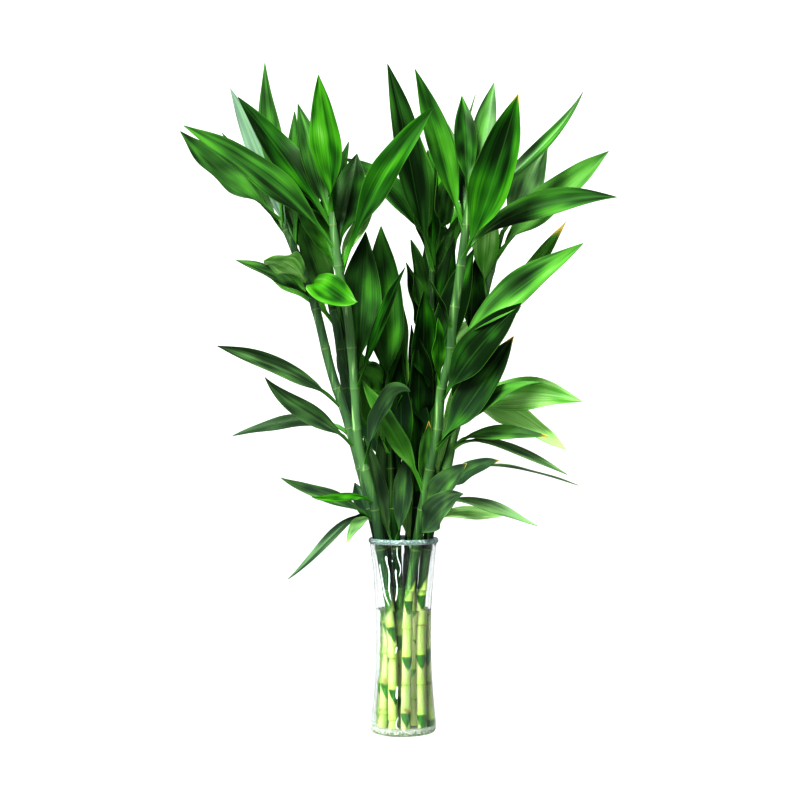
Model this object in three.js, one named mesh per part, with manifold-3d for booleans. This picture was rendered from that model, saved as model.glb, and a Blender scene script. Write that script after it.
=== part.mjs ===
// Lucky bamboo in its glass vase: nine leafy stalks that stand in water.
// Millimetres, +Z up. The origin is the middle of the vase's foot, on the surface that it stands on.
// The plant's best side faces -Y, and +X is to the right as seen from there.
import * as THREE from "three";
import { mergeVertices } from "three/addons/utils/BufferGeometryUtils.js";
import Module from "manifold-3d";

const wasm = await Module();
wasm.setup();

// The vase: a waisted tumbler of clear glass. Each row is a height and the outer radius there.
const VASE_HEIGHT = 242;
const VASE_OUTLINE = [
  [0, 40.2],
  [14, 40.3],
  [50, 37],
  [90, 35],
  [150, 35.1],
  [200, 38.3],
  [VASE_HEIGHT, 42.8],
];
const VASE_STEPS = 4;
const WATER_STEPS = 3;
const GLASS_WALL = 3;
const GLASS_FLOOR = 7;
const GLASS_EDGE = 1.2;
const WATER_LEVEL = 156;
const HOLE_HEIGHTS = [GLASS_FLOOR - 1, 60, 110, 135, WATER_LEVEL + 5];
const ROUND_SIDES = 24;

// The gap that every two touching pieces keep between them.
const GAP = 0.3;

// The canes: bare, yellow-green, with a ring at each joint, up to where the green sheaths start.
const CANE_RADIUS = 5.5;
const CANE_RING = 0.5;
const CANE_JOINT_SPACING = 38;
const CANE_TOP = 178;
const CANE_FOOT_GAP = 0.8;
const CANE_LOWEST_JOINT = 18;
const CANE_JOINT_SHIFT = 13;
const CANE_JOINT_RANGE = 30;
const CANE_SIDES = 8;

// The leafy stems: green sheaths over the same stalk, thinner towards the top, and its bare tip.
const STEM_RADIUS_LOW = 6.2;
const STEM_RADIUS_TOP = 5.4;
const STEM_RADIUS_TIP = 2.6;
const STEM_TAPER = 50;
const STEM_RING = 0.5;
const STEM_JOINT_SPACING = 50;
const STEM_BARE_TIP = 10;
const STEM_SIDES = 6;

// The leaves: thin blades with a fold along the midrib and a narrow stalk at the foot.
const BLADE_THICKNESS = 0.8;
const BLADE_FOLD = 0.26;
const LEAF_STALK_HALF = 4.2;
const LEAF_STALK_SHARE = 0.16;
const LEAF_STALK_TAPER = 4;
const LEAF_TIP_HALF = 0.4;
const LEAF_WIDEST_LOW = 0.86;
const LEAF_FULLNESS = 0.8;
const LEAF_ROOT_OFFSET = 0.45;
const LEAF_ROOT_SPREAD = 0.4;
const LEAF_ROOT_REACH = 0.3;
const LEAF_TIP_REACH = 0.35;
const LEAF_TURN_SHARE = 0.45;
const LEAF_STATIONS = [0, 0.19, 0.4, 0.61, 0.83, 1];

// The nine stalks, from the left front to the back. An axis row is a height, x and y.
// A leaf row is the height where it leaves the stalk, its tip, its widest width, how far its tip
// droops, how far its blade turns towards the front and, on a few, how much of it is leaf stalk.
const STALKS = [
  {
    name: "left",
    axis: [
      [7, -21, -5],
      [110, -15, -1],
      [160, -18, 2],
      [243, -33, 5],
      [380, -68, 14],
      [450, -91, 18],
      [530, -111, 22],
      [590, -132, 24],
      [645, -157, 26],
    ],
    leaves: [
      [640, [-281, 15, 752], 48, -0.2, 1.4],
      [622, [-233, 60, 757], 19, 0.1, 0.6],
      [606, [-224, 75, 817], 28, 0.15, 1.2],
      [634, [-176, 35, 842], 36, -0.4, 1.1],
      [600, [-139, 50, 783], 28, 0, 1.6],
      [536, [-211, 15, 590], 20, 0.2, 1.4],
      [557, [-171, -50, 584], 41, 0.35, -0.5],
      [540, [-54, -155, 528], 40, -0.2, 3],
      [400, [-231, -20, 481], 27, 0.15, 1.6, 0.18],
      [350, [-170, -45, 442], 26, -0.55, 2.1],
      [365, [-219, 55, 368], 21, 0.3, 1.4],
      [258, [-150, -50, 319], 20, -0.1, 1.9],
      [260, [-142, -40, 194], 13, 0.05, 1.6],
      [258, [-69, -60, 240], 16, 0.75, 1.3],
      [253, [-62, 35, 309], 26, -0.1, 0.6],
    ],
  },
  {
    name: "front_left",
    axis: [
      [7, -11.5, -18],
      [110, -12.5, -15],
      [160, -17.5, -14],
      [243, -30, -14],
      [293, -38, -20],
      [358, -55, -27],
      [429, -60, -33],
      [517, -68, -40],
      [560, -77, -43],
      [606, -83.5, -46],
      [662, -91, -49],
    ],
    leaves: [
      [594, [-263, -95, 742], 42, 0.2, 1.8],
      [620, [-205, -20, 789], 40, 0.05, 1.6],
      [639, [-103, -72, 807], 38, 0.15, 2.8],
      [628, [-131, -20, 781], 30, 0, 1.2],
      [561, [37, -78, 768], 36, 0.35, 2.8, 0.26],
      [572, [-36, 0, 656], 20, 0.2, 1.2],
      [421, [2, -66, 575], 23, 0.2, 1.1],
      [327, [8, -90, 424], 36, 0.95, 1.2, 0.2],
      [566, [-136, 30, 668], 31, 0.15, 1.2],
      [283, [-111, -75, 297], 13, -0.2, 1.4],
      [437, [-47, -12, 623], 52, 0.05, 1.6],
      [592, [-58, -5, 721], 48, -0.25, 1.4],
    ],
  },
  {
    name: "centre_left",
    axis: [
      [7, -6, 0],
      [110, -2, 3],
      [160, -5, 4],
      [243, -10, 5],
      [400, -20, 10],
      [500, -30, 15],
    ],
    leaves: [
      [410, [-28, -2, 631], 52, 0.15, 2.3],
      [370, [-2, 10, 544], 42, 0, 1.4],
      [340, [-55, 0, 475], 45, -0.15, 1.6],
      [290, [-2, -3, 472], 48, 0, 1.4],
      [232, [6, -16, 352], 27, 0, 2.2],
      [315, [-63, 80, 422], 33, -0.05, 0.5],
      [262, [-23, 14, 398], 36, 0, 1],
      [225, [-50, -4, 369], 29, 0.05, 1.7],
      [414, [-57, -18, 448], 40, 0.75, 1.8],
    ],
  },
  {
    name: "front_right",
    axis: [
      [7, 2, -27],
      [110, 4, -19],
      [160, 5.5, -18.5],
      [239, 17, -20],
      [327, 32, -27],
      [376, 42, -32],
      [424, 46, -36],
      [468, 57, -40],
      [509, 60, -43],
      [548, 66, -45],
      [639, 78, -49],
      [680, 82, -51],
    ],
    leaves: [
      [580, [137, -95, 780], 52, -0.2, 2.8],
      [614, [14, -45, 819], 35, 0.15, 2],
      [664, [72, -25, 790], 29, 0.2, 1.6],
      [650, [113, -5, 810], 30, 0.15, 1.6],
      [624, [223, -12, 797], 19, -0.6, 1.5],
      [588, [264, -22, 665], 36, 0.4, 2.2],
      [626, [56, 15, 761], 26, 0, 1],
      [466, [213, -110, 600], 41, 0.1, 2.2],
      [406, [141, -88, 530], 48, 0.2, 2.5],
      [351, [133, -72, 491], 45, -0.15, 2.4],
      [345, [166, -88, 435], 21, 0.5, 1.4, 0.2],
      [264, [76, -85, 338], 36, 0.1, 2.3],
      [233, [71, -100, 302], 38, 0.35, 2.3],
      [495, [31, -75, 560], 16, 0, 0.4],
      [424, [42, -50, 514], 22, 0, 1.4],
      [292, [-52, -32, 440], 27, 0, 1.8, 0.2],
      [300, [31, -30, 388], 24, 0, 1.2],
    ],
  },
  {
    name: "centre_right",
    axis: [
      [7, 11, 9],
      [110, 9, 10],
      [160, 11, 12],
      [243, 15, 15],
      [400, 26, 24],
      [520, 34, 33],
      [600, 38, 40],
    ],
    leaves: [
      [574, [-20, -5, 833], 41, 0.25, 2.3],
      [575, [20, 60, 753], 39, 0.2, 1.2],
      [591, [-76, 30, 720], 43, 0.5, 1],
      [463, [3, 0, 586], 37, 0.25, 1.2],
      [489, [9, 14, 616], 36, 0.15, 1.2],
      [400, [25, -4, 550], 42, 0, 1.4],
      [350, [18, -2, 494], 42, 0, 1.4],
      [580, [41, 36, 746], 28, 0, 1],
      [520, [71, 80, 653], 28, 0.2, 0.4],
      [424, [88, 8, 603], 48, 0, 1.7],
      [290, [14, 4, 440], 46, 0, 1.2],
      [235, [38, 8, 352], 36, -0.15, 1.2],
      [217, [0, 18, 350], 30, 0, 1.4],
      [300, [46, 20, 462], 42, 0, 1.2],
      [470, [65, 40, 620], 34, -0.25, 1.6],
    ],
  },
  {
    name: "front_right_low",
    axis: [
      [7, 19.5, -13],
      [110, 18, -8],
      [160, 21, -8.5],
      [243, 31, -11],
      [293, 45, -15],
      [343, 57, -17],
      [392, 68, -18],
    ],
    leaves: [
      [352, [178, -50, 370], 23, 0.15, 1.2],
      [349, [202, -30, 322], 19, 0.25, 0.7],
      [310, [219, 5, 307], 16, 0.3, -0.1],
      [293, [116, -70, 341], 26, 0.25, 1.5],
      [278, [165, -30, 259], 18, 0.2, 0.9],
      [259, [124, 15, 268], 21, 0.1, 0.8],
      [380, [92, -6, 498], 36, 0.2, 1.2],
    ],
  },
  {
    name: "right",
    axis: [
      [7, 27, 0],
      [110, 22.5, 6],
      [160, 22.5, 7.5],
      [243, 31, 12],
      [372, 64, 20],
      [494, 92, 30],
      [569, 108, 38],
      [630, 127, 44],
    ],
    leaves: [
      [625, [186, 62, 742], 44, 0.3, 2],
      [592, [254, -20, 722], 44, 0.05, 2.2],
      [586, [212, 72, 681], 23, 0.75, 0.6],
      [471, [208, 52, 642], 28, -0.05, 1.3],
      [386, [221, -20, 412], 48, 0.35, 1.9],
      [390, [203, 0, 352], 36, 0.35, 1.2],
      [450, [155, 120, 538], 34, 0.2, 0],
      [541, [105, 14, 681], 36, 0.25, 2.2],
      [285, [64, 12, 436], 49, 0, 1.2],
      [470, [91, 22, 595], 35, 0, 1.7],
    ],
  },
  {
    name: "back_left",
    axis: [
      [7, -16, 17],
      [110, -12, 16],
      [160, -13, 17],
      [243, -19, 21],
      [400, -68, 46],
      [520, -88, 64],
      [615, -115, 78],
    ],
    leaves: [
      [590, [-70, 50, 744], 36, -0.1, 1.7],
      [575, [-144, 60, 719], 34, 0.25, 1.5],
      [566, [-183, 140, 727], 34, 0.1, 0.4],
      [505, [-201, 130, 589], 41, 0.3, 0.5],
      [450, [-68, 170, 568], 36, 0.4, 0.5],
      [409, [-63, 180, 507], 36, 0.3, 0],
      [526, [-133, 42, 640], 41, 0.1, 1.8],
    ],
  },
  {
    name: "back_right",
    axis: [
      [7, 3, 25],
      [110, 1, 23],
      [160, 3, 24],
      [243, 8, 29],
      [400, 22, 58],
      [520, 36, 82],
      [620, 46, 98],
    ],
    leaves: [
      [605, [93, 70, 808], 26, 0.1, 1],
      [600, [-8, 62, 772], 34, 0.1, 1],
      [590, [33, 180, 752], 37, 0.35, 0],
      [563, [122, 150, 713], 43, 0.4, 0.1],
      [500, [37, 150, 641], 34, 0.3, -0.5],
      [432, [104, 160, 532], 34, 0.05, 0.1],
      [360, [20, 170, 430], 32, 0.4, 0],
      [599, [61, 60, 711], 37, -0.15, 1.2],
      [330, [10, 62, 511], 30, 0, 1.2],
    ],
  },
];

// The colours of the real thing.
const GLASS_COLOUR = 0xe8f0f0;
const WATER_COLOUR = 0xe4f0ea;
const CANE_COLOUR = 0xc9dd66;
const LEAF_COLOUR = 0x2f8a1c;

// A smooth line through rows of height, value, value: each value at a height, and its slope there.
function smooth(rows, height) {
  const last = rows.length - 1;
  let low = 0;
  while (low < last - 1 && height > rows[low + 1][0]) low++;
  const slope = (row, column) => {
    const before = rows[Math.max(row - 1, 0)];
    const after = rows[Math.min(row + 1, last)];
    return (after[column] - before[column]) / (after[0] - before[0]);
  };
  const span = rows[low + 1][0] - rows[low][0];
  const t = (height - rows[low][0]) / span;
  const values = [];
  const slopes = [];
  for (let column = 1; column < rows[0].length; column++) {
    const [a, b] = [rows[low][column], rows[low + 1][column]];
    const [m, n] = [slope(low, column) * span, slope(low + 1, column) * span];
    const square = 3 * (b - a) - 2 * m - n;
    const cube = m + n - 2 * (b - a);
    values.push(a + t * (m + t * (square + t * cube)));
    slopes.push((m + t * (2 * square + 3 * t * cube)) / span);
  }
  return { values, slopes };
}

// A closed solid through rings of points, each ring with the same even number of points.
// The two halves of a ring are split into triangles alike, as on the two faces of a blade.
function loft(rings) {
  const count = rings[0].length;
  const half = count / 2;
  const triangles = [];
  for (let ring = 0; ring + 1 < rings.length; ring++) {
    for (let side = 0; side < count; side++) {
      const a = ring * count + side;
      const b = ring * count + ((side + 1) % count);
      if (side < half) triangles.push(a, b, b + count, a, b + count, a + count);
      else triangles.push(a, b, a + count, b, b + count, a + count);
    }
  }
  const end = (rings.length - 1) * count;
  for (let side = 0; side + 1 < half; side++) {
    const [a, b, c, d] = [side, side + 1, count - 2 - side, count - 1 - side];
    triangles.push(a, c, b, a, d, c);
    triangles.push(end + a, end + b, end + c, end + a, end + c, end + d);
  }
  const vertProperties = new Float32Array(rings.flat().flatMap((point) => point.toArray()));
  const triVerts = new Uint32Array(triangles);
  return new wasm.Manifold(new wasm.Mesh({ numProp: 3, vertProperties, triVerts }));
}

// A round piece about the upright axis, from a profile of [radius, height] rows, as a solid.
function turned(profile) {
  const points = profile.map(([radius, height]) => new THREE.Vector2(radius, height));
  const lathe = new THREE.LatheGeometry(points, ROUND_SIDES).rotateX(Math.PI / 2);
  lathe.deleteAttribute("normal");
  lathe.deleteAttribute("uv");
  const merged = mergeVertices(lathe, 1e-3);
  const vertProperties = merged.attributes.position.array;
  const triVerts = new Uint32Array(merged.index.array);
  return new wasm.Manifold(new wasm.Mesh({ numProp: 3, vertProperties, triVerts }));
}

function meshOf(name, solid, material) {
  const made = solid.getMesh();
  const geometry = new THREE.BufferGeometry();
  const places = new Float32Array(made.numVert * 3);
  for (let vertex = 0; vertex < made.numVert; vertex++) {
    const start = vertex * made.numProp;
    places.set(made.vertProperties.subarray(start, start + 3), vertex * 3);
  }
  geometry.setAttribute("position", new THREE.BufferAttribute(places, 3));
  geometry.setIndex(new THREE.BufferAttribute(made.triVerts, 1));
  geometry.computeVertexNormals();
  const mesh = new THREE.Mesh(geometry, material);
  mesh.name = name;
  return mesh;
}

const outerRadius = (height) => smooth(VASE_OUTLINE, height).values[0];
const innerRadius = (height) => outerRadius(height) - GLASS_WALL;

function heightsBetween(low, high, steps) {
  return Array.from({ length: steps + 1 }, (_, step) => low + ((high - low) * step) / steps);
}

// The glass: its outside from the foot to the lip, then its inside down to the thick floor.
function makeVase() {
  const outside = heightsBetween(GLASS_EDGE, VASE_HEIGHT - GLASS_EDGE, VASE_STEPS);
  const inside = heightsBetween(GLASS_FLOOR + GLASS_EDGE, VASE_HEIGHT - GLASS_EDGE, VASE_STEPS);
  return turned([
    [0, 0],
    [outerRadius(0) - GLASS_EDGE, 0],
    ...outside.map((height) => [outerRadius(height), height]),
    [outerRadius(VASE_HEIGHT) - GLASS_EDGE, VASE_HEIGHT],
    [innerRadius(VASE_HEIGHT) + GLASS_EDGE, VASE_HEIGHT],
    ...inside.reverse().map((height) => [innerRadius(height), height]),
    [innerRadius(GLASS_FLOOR) - GLASS_EDGE, GLASS_FLOOR],
    [0, GLASS_FLOOR],
  ]);
}

function stalkPoint(stalk, height) {
  return new THREE.Vector3(...smooth(stalk.axis, height).values, height);
}

function stalkDirection(stalk, height) {
  return new THREE.Vector3(...smooth(stalk.axis, height).slopes, 1).normalize();
}

// A round section of a stalk at a height, square to its axis.
function stalkRing(stalk, height, radius, sides) {
  const centre = stalkPoint(stalk, height);
  const along = stalkDirection(stalk, height);
  const across = new THREE.Vector3(0, 1, 0).cross(along).normalize();
  const inward = along.clone().cross(across);
  return Array.from({ length: sides }, (_, side) => {
    const angle = ((side + 0.5) * 2 * Math.PI) / sides;
    return centre
      .clone()
      .addScaledVector(across, radius * Math.cos(angle))
      .addScaledVector(inward, radius * Math.sin(angle));
  });
}

// A bare cane from just above the glass floor: a ring stands out at each joint.
function makeCane(stalk, firstJoint) {
  const rings = [stalkRing(stalk, GLASS_FLOOR + CANE_FOOT_GAP, CANE_RADIUS, CANE_SIDES)];
  for (let joint = firstJoint; joint < CANE_TOP; joint += CANE_JOINT_SPACING) {
    rings.push(stalkRing(stalk, joint, CANE_RADIUS + CANE_RING, CANE_SIDES));
    const middle = Math.min(joint + CANE_JOINT_SPACING / 2, CANE_TOP - 1);
    rings.push(stalkRing(stalk, middle, CANE_RADIUS, CANE_SIDES));
  }
  rings.push(stalkRing(stalk, CANE_TOP, CANE_RADIUS, CANE_SIDES));
  return loft(rings);
}

// The plain hole that a cane stands in, a little wider than its rings.
function makeHole(stalk) {
  const radius = CANE_RADIUS + CANE_RING + GAP;
  return loft(HOLE_HEIGHTS.map((height) => stalkRing(stalk, height, radius, CANE_SIDES)));
}

function makeWater() {
  const heights = heightsBetween(GLASS_FLOOR + GAP + GLASS_EDGE, WATER_LEVEL, WATER_STEPS);
  let water = turned([
    [0, GLASS_FLOOR + GAP],
    [innerRadius(GLASS_FLOOR) - GLASS_EDGE - GAP, GLASS_FLOOR + GAP],
    ...heights.map((height) => [innerRadius(height) - GAP, height]),
    [0, WATER_LEVEL],
  ]);
  for (const stalk of STALKS) water = water.subtract(makeHole(stalk));
  return water.decompose().sort((a, b) => b.volume() - a.volume())[0];
}

function stemRadius(stalk, height) {
  const top = stalk.axis.at(-1)[0];
  const share = (height - CANE_TOP) / (top - CANE_TOP);
  const full = STEM_RADIUS_LOW + (STEM_RADIUS_TOP - STEM_RADIUS_LOW) * share;
  return STEM_RADIUS_TIP + (full - STEM_RADIUS_TIP) * Math.min(1, (top - height) / STEM_TAPER);
}

// The green stem above the cane, with a slight swelling at each joint.
function makeStem(stalk) {
  const top = stalk.axis.at(-1)[0];
  const rings = [stalkRing(stalk, CANE_TOP + GAP, CANE_RADIUS, STEM_SIDES)];
  for (let joint = CANE_TOP + STEM_JOINT_SPACING; joint < top - STEM_BARE_TIP; joint += STEM_JOINT_SPACING) {
    const middle = joint - STEM_JOINT_SPACING / 2;
    rings.push(stalkRing(stalk, middle, stemRadius(stalk, middle), STEM_SIDES));
    rings.push(stalkRing(stalk, joint, stemRadius(stalk, joint) + STEM_RING, STEM_SIDES));
  }
  rings.push(stalkRing(stalk, top, STEM_RADIUS_TIP, STEM_SIDES));
  return loft(rings);
}

// Half the width of a leaf at a share of its length: a narrow stalk, then a long pointed blade.
function halfWidth(share, width, stalkShare) {
  const blade = Math.max(0, (share - stalkShare) / (1 - stalkShare));
  const full = (width / 2) * Math.sin(Math.PI * blade ** LEAF_WIDEST_LOW) ** LEAF_FULLNESS;
  const stalk = LEAF_STALK_HALF * Math.max(0, 1 - blade * LEAF_STALK_TAPER);
  return Math.max(full, stalk, LEAF_TIP_HALF);
}

// A leaf: it leaves the stalk along it, bends out to its tip and turns its face to the front.
function makeLeaf(stalk, [height, tip, width, droop, turn, stalkShare = LEAF_STALK_SHARE]) {
  const axis = stalkPoint(stalk, height);
  const along = stalkDirection(stalk, height);
  const end = new THREE.Vector3(...tip);
  const chord = end.clone().sub(axis);
  const heading = chord.clone().normalize();
  const out = heading.clone().addScaledVector(along, -heading.dot(along)).normalize();
  const flat = out.clone().cross(along);
  const root = axis.clone().addScaledVector(out, stemRadius(stalk, height) * LEAF_ROOT_OFFSET);
  const leaving = along.clone().addScaledVector(out, LEAF_ROOT_SPREAD).normalize();
  heading.z -= droop;
  const line = new THREE.CubicBezierCurve3(
    root,
    root.clone().addScaledVector(leaving, chord.length() * LEAF_ROOT_REACH),
    end.clone().addScaledVector(heading.normalize(), -chord.length() * LEAF_TIP_REACH),
    end,
  );
  const rings = LEAF_STATIONS.map((share) => {
    const centre = line.getPoint(share);
    const ahead = line.getTangent(share);
    const turning = turn * Math.min(1, share / LEAF_TURN_SHARE);
    const face = flat.clone().cross(ahead).normalize();
    face.y -= turning;
    face.addScaledVector(ahead, -face.dot(ahead)).normalize();
    const side = face.clone().cross(ahead);
    const half = halfWidth(share, width, stalkShare);
    const place = (across, lift) => {
      return centre
        .clone()
        .addScaledVector(side, across * half)
        .addScaledVector(face, Math.abs(across) * half * BLADE_FOLD + lift);
    };
    const up = BLADE_THICKNESS / 2;
    return [place(1, up), place(0, up), place(-1, up), place(-1, -up), place(0, -up), place(1, -up)];
  });
  return loft(rings);
}

// One stalk's stem with all its leaves, as one body.
function makeLeafyStem(stalk) {
  return wasm.Manifold.union([makeStem(stalk), ...stalk.leaves.map((row) => makeLeaf(stalk, row))]);
}

const glass = new THREE.MeshStandardMaterial({
  color: GLASS_COLOUR,
  roughness: 0.05,
  metalness: 0,
  transparent: true,
  opacity: 0.35,
});
const clearWater = new THREE.MeshStandardMaterial({
  color: WATER_COLOUR,
  roughness: 0.05,
  metalness: 0,
  transparent: true,
  opacity: 0.3,
});
const caneSkin = new THREE.MeshStandardMaterial({ color: CANE_COLOUR, roughness: 0.45, metalness: 0 });
const leafGreen = new THREE.MeshStandardMaterial({ color: LEAF_COLOUR, roughness: 0.4, metalness: 0 });

const group = new THREE.Group();
group.add(meshOf("vase", makeVase(), glass));
group.add(meshOf("water", makeWater(), clearWater));
STALKS.forEach((stalk, index) => {
  const firstJoint = CANE_LOWEST_JOINT + ((index * CANE_JOINT_SHIFT) % CANE_JOINT_RANGE);
  group.add(meshOf("cane_" + stalk.name, makeCane(stalk, firstJoint), caneSkin));
  group.add(meshOf("leafy_stem_" + stalk.name, makeLeafyStem(stalk), leafGreen));
});

export default group;
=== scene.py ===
"""Lucky bamboo in its glass vase, dressed over its CAD frame.

The CAD solids fix every size and place. This script stands finer pieces in for them: a wavy glass
vase, its water, ringed canes, and leafy stems with veined, folded, slightly waved leaves.
"""

import math
import random
from functools import partialmethod

import bpy
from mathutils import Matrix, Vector


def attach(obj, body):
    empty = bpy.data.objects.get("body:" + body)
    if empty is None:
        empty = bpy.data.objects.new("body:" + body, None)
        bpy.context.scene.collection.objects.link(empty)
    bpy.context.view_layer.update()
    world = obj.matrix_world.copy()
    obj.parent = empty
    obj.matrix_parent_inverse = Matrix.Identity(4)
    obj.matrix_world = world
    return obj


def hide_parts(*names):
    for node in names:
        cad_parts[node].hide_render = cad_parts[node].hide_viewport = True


bl_info = {
    "name": "Lucky bamboo in its glass vase",
    "version": (1, 0, 0),
    "blender": (4, 5, 0),
    "location": "View3D > Sidebar > Lucky bamboo",
    "description": "Dresses the CAD frame of a lucky bamboo that stands in a glass vase of water",
    "category": "Object",
}

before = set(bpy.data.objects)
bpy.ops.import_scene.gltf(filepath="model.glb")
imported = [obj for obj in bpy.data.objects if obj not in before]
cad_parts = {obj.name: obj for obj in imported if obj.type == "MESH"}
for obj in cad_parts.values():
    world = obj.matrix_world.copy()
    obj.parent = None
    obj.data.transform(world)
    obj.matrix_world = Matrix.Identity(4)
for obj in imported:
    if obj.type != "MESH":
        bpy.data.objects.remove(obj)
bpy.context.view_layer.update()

MM = 0.001
# Points closer than this are one point.
CLOSE = 0.01 * MM
BODY = "root"

# The vase and the water, in millimetres: each row is a height and the outer radius there.
VASE_OUTLINE = [
    (0, 40.2), (14, 40.3), (50, 37), (90, 35), (150, 35.1), (200, 38.3), (242, 42.8),
]
VASE_HEIGHT = 242
VASE_STEPS = 96
WALL_STEPS = 44
WATER_STEPS = 30

# The underside of the vase: rows of radius and height. The roll of its rim: rows of how far out
# from the wall's radius at the top, and how far up from the top. How far down the roll and its
# knurls reach, and half the height of a knurl.
VASE_FOOT = [(0, 1.2), (26, 1), (34, 0.2), (36.5, 0), (38.4, 0.7)]
VASE_RIM = [
    (-0.2, -5.6), (0.5, -5), (0.8, -4), (0.8, -2.6), (0.3, -1.1), (-0.8, -0.2), (-2, 0),
    (-3.2, -0.3), (-4, -1.2), (-4.4, -2.6), (-4.3, -4), (-3.6, -5.2), (-3, -5.8),
]
RIM_DEPTH = 7
KNURL_DEPTH = 6
KNURL = 0.3

# Where the bare canes start, and where they end and the green stems start.
CANE_FOOT = 7.8
CANE_TOP = 178

# Sides and joint rings of the rods, the number of their first joint, so that none has a number
# below zero, and over what height a stem widens at its foot and narrows to its tip.
CANE_SIDES, CANE_RING = 28, 0.08
STEM_SIDES, STEM_RING = 20, 0.1
FIRST_NUMBER = 20
STEM_SPREAD = 25
STEM_TAPER = 50

# In metres: where the lit part of a stem starts, and over what height. Between which heights the
# grain of the vase's rim and foot fades; on the foot that grain is painted pale, a painted light
# with a painted sparkle. Where green takes over from bare cane, how far that line slants to each
# side, and how ragged it is.
LOOK_START, LOOK_REACH = 0.22, 0.12
RIM_GRAIN = (0.2355, 0.2375)
FOOT_GRAIN_AND_SPARKLE = (0.011, 0.003)
GREEN_LINE, GREEN_SLANT, GREEN_RAGGED = 0.181, 0.013, 0.006

# How a leaf leaves its stem and bends to its tip. ROOT_OFFSET is a share of the stem's radius and
# ROOT_SPREAD how far out it leaves for each step up; the reaches, TURN_SHARE and STALK_SHARE are
# shares of the leaf's length. LEAF_FOOT, which runs out after 1 / LEAF_FOOT_TAPER of the blade, and
# LEAF_POINT are its least half widths.
ROOT_OFFSET = 0.45
ROOT_SPREAD = 0.4
ROOT_REACH = 0.3
TIP_REACH = 0.35
TURN_SHARE = 0.45
STALK_SHARE = 0.16
LEAF_FOOT, LEAF_FOOT_TAPER, LEAF_POINT = 4.2, 4, 0.25
LEAF_ROWS, LEAF_COLUMNS = 30, 8
LEAF_SEED = 11

# The blade's half width over its length, from the end of the leaf stalk to the tip.
BLADE_SHAPE = [
    (0, 0.12), (0.06, 0.26), (0.14, 0.52), (0.26, 0.83), (0.4, 0.99), (0.5, 1),
    (0.63, 0.89), (0.76, 0.67), (0.86, 0.42), (0.94, 0.19), (1, 0.02),
]

# Drops and runs of glass on the outside of the vase: rows of x, height and half the width.
DRIP_STEPS = 6
DRIPS = [
    [
        (-21.6, 222, 2.2), (-20.6, 214, 1), (-18, 204, 0.8),
        (-17.4, 192, 1), (-17.9, 181, 0.9), (-15.2, 166, 0.6),
    ],
    [(-29.6, 211, 0.7), (-27.6, 199, 0.8), (-25.4, 186, 0.9), (-22.6, 172, 0.9), (-17.5, 160, 0.6)],
    [(-9.6, 206, 1.6), (-9.4, 197, 1), (-7.8, 184, 0.8), (-8.6, 174, 0.9), (-9.8, 166, 0.7)],
    [(-8, 234, 0.6), (-7.6, 222, 0.7), (-3.6, 207, 0.7), (-5.6, 196, 0.5)],
    [(-0.8, 236, 0.9), (-0.2, 230, 1.2), (-0.6, 225, 0.8)],
    [(-14, 217, 0.9), (-13.9, 215, 0.9)],
    [(-14.2, 226, 0.6), (-14.1, 225, 0.6)],
    [(-8, 110, 0.9), (-9, 106, 1.1), (-10, 101, 0.5)],
    [(-7, 62, 0.8), (-8.2, 57, 1.2), (-8.6, 50, 1.2), (-8.2, 46, 0.6)],
    [(-5.6, 25, 0.5), (-8.4, 20, 0.6), (-9.2, 14, 0.6), (-6.6, 9.5, 0.5)],
]

# The line of each stalk from the vase's floor to its crown: rows of height, x and y.
STALK_AXES = {
    "left": [
        (7, -21, -5), (110, -15, -1), (160, -18, 2), (243, -33, 5), (380, -68, 14), (450, -91, 18),
        (530, -111, 22), (590, -132, 24), (645, -157, 26),
    ],
    "front_left": [
        (7, -11.5, -18), (110, -12.5, -15), (160, -17.5, -14), (243, -30, -14), (293, -38, -20),
        (358, -55, -27), (429, -60, -33), (517, -68, -40), (560, -77, -43), (606, -83.5, -46),
        (662, -91, -49),
    ],
    "centre_left": [
        (7, -6, 0), (110, -2, 3), (160, -5, 4), (243, -10, 5), (400, -20, 10), (500, -30, 15),
    ],
    "front_right": [
        (7, 2, -27), (110, 4, -19), (160, 5.5, -18.5), (239, 17, -20), (327, 32, -27),
        (376, 42, -32), (424, 46, -36), (468, 57, -40), (509, 60, -43), (548, 66, -45),
        (639, 78, -49), (680, 82, -51),
    ],
    "centre_right": [
        (7, 11, 9), (110, 9, 10), (160, 11, 12), (243, 15, 15), (400, 26, 24), (520, 34, 33),
        (600, 38, 40),
    ],
    "front_right_low": [
        (7, 19.5, -13), (110, 18, -8), (160, 21, -8.5), (243, 31, -11), (293, 45, -15),
        (343, 57, -17), (392, 68, -18),
    ],
    "right": [
        (7, 27, 0), (110, 22.5, 6), (160, 22.5, 7.5), (243, 31, 12), (372, 64, 20), (494, 92, 30),
        (569, 108, 38), (630, 127, 44),
    ],
    "back_left": [
        (7, -16, 17), (110, -12, 16), (160, -13, 17), (243, -19, 21), (400, -68, 46),
        (520, -88, 64), (615, -115, 78),
    ],
    "back_right": [
        (7, 3, 25), (110, 1, 23), (160, 3, 24), (243, 8, 29), (400, 22, 58), (520, 36, 82),
        (620, 46, 98),
    ],
}
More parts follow.
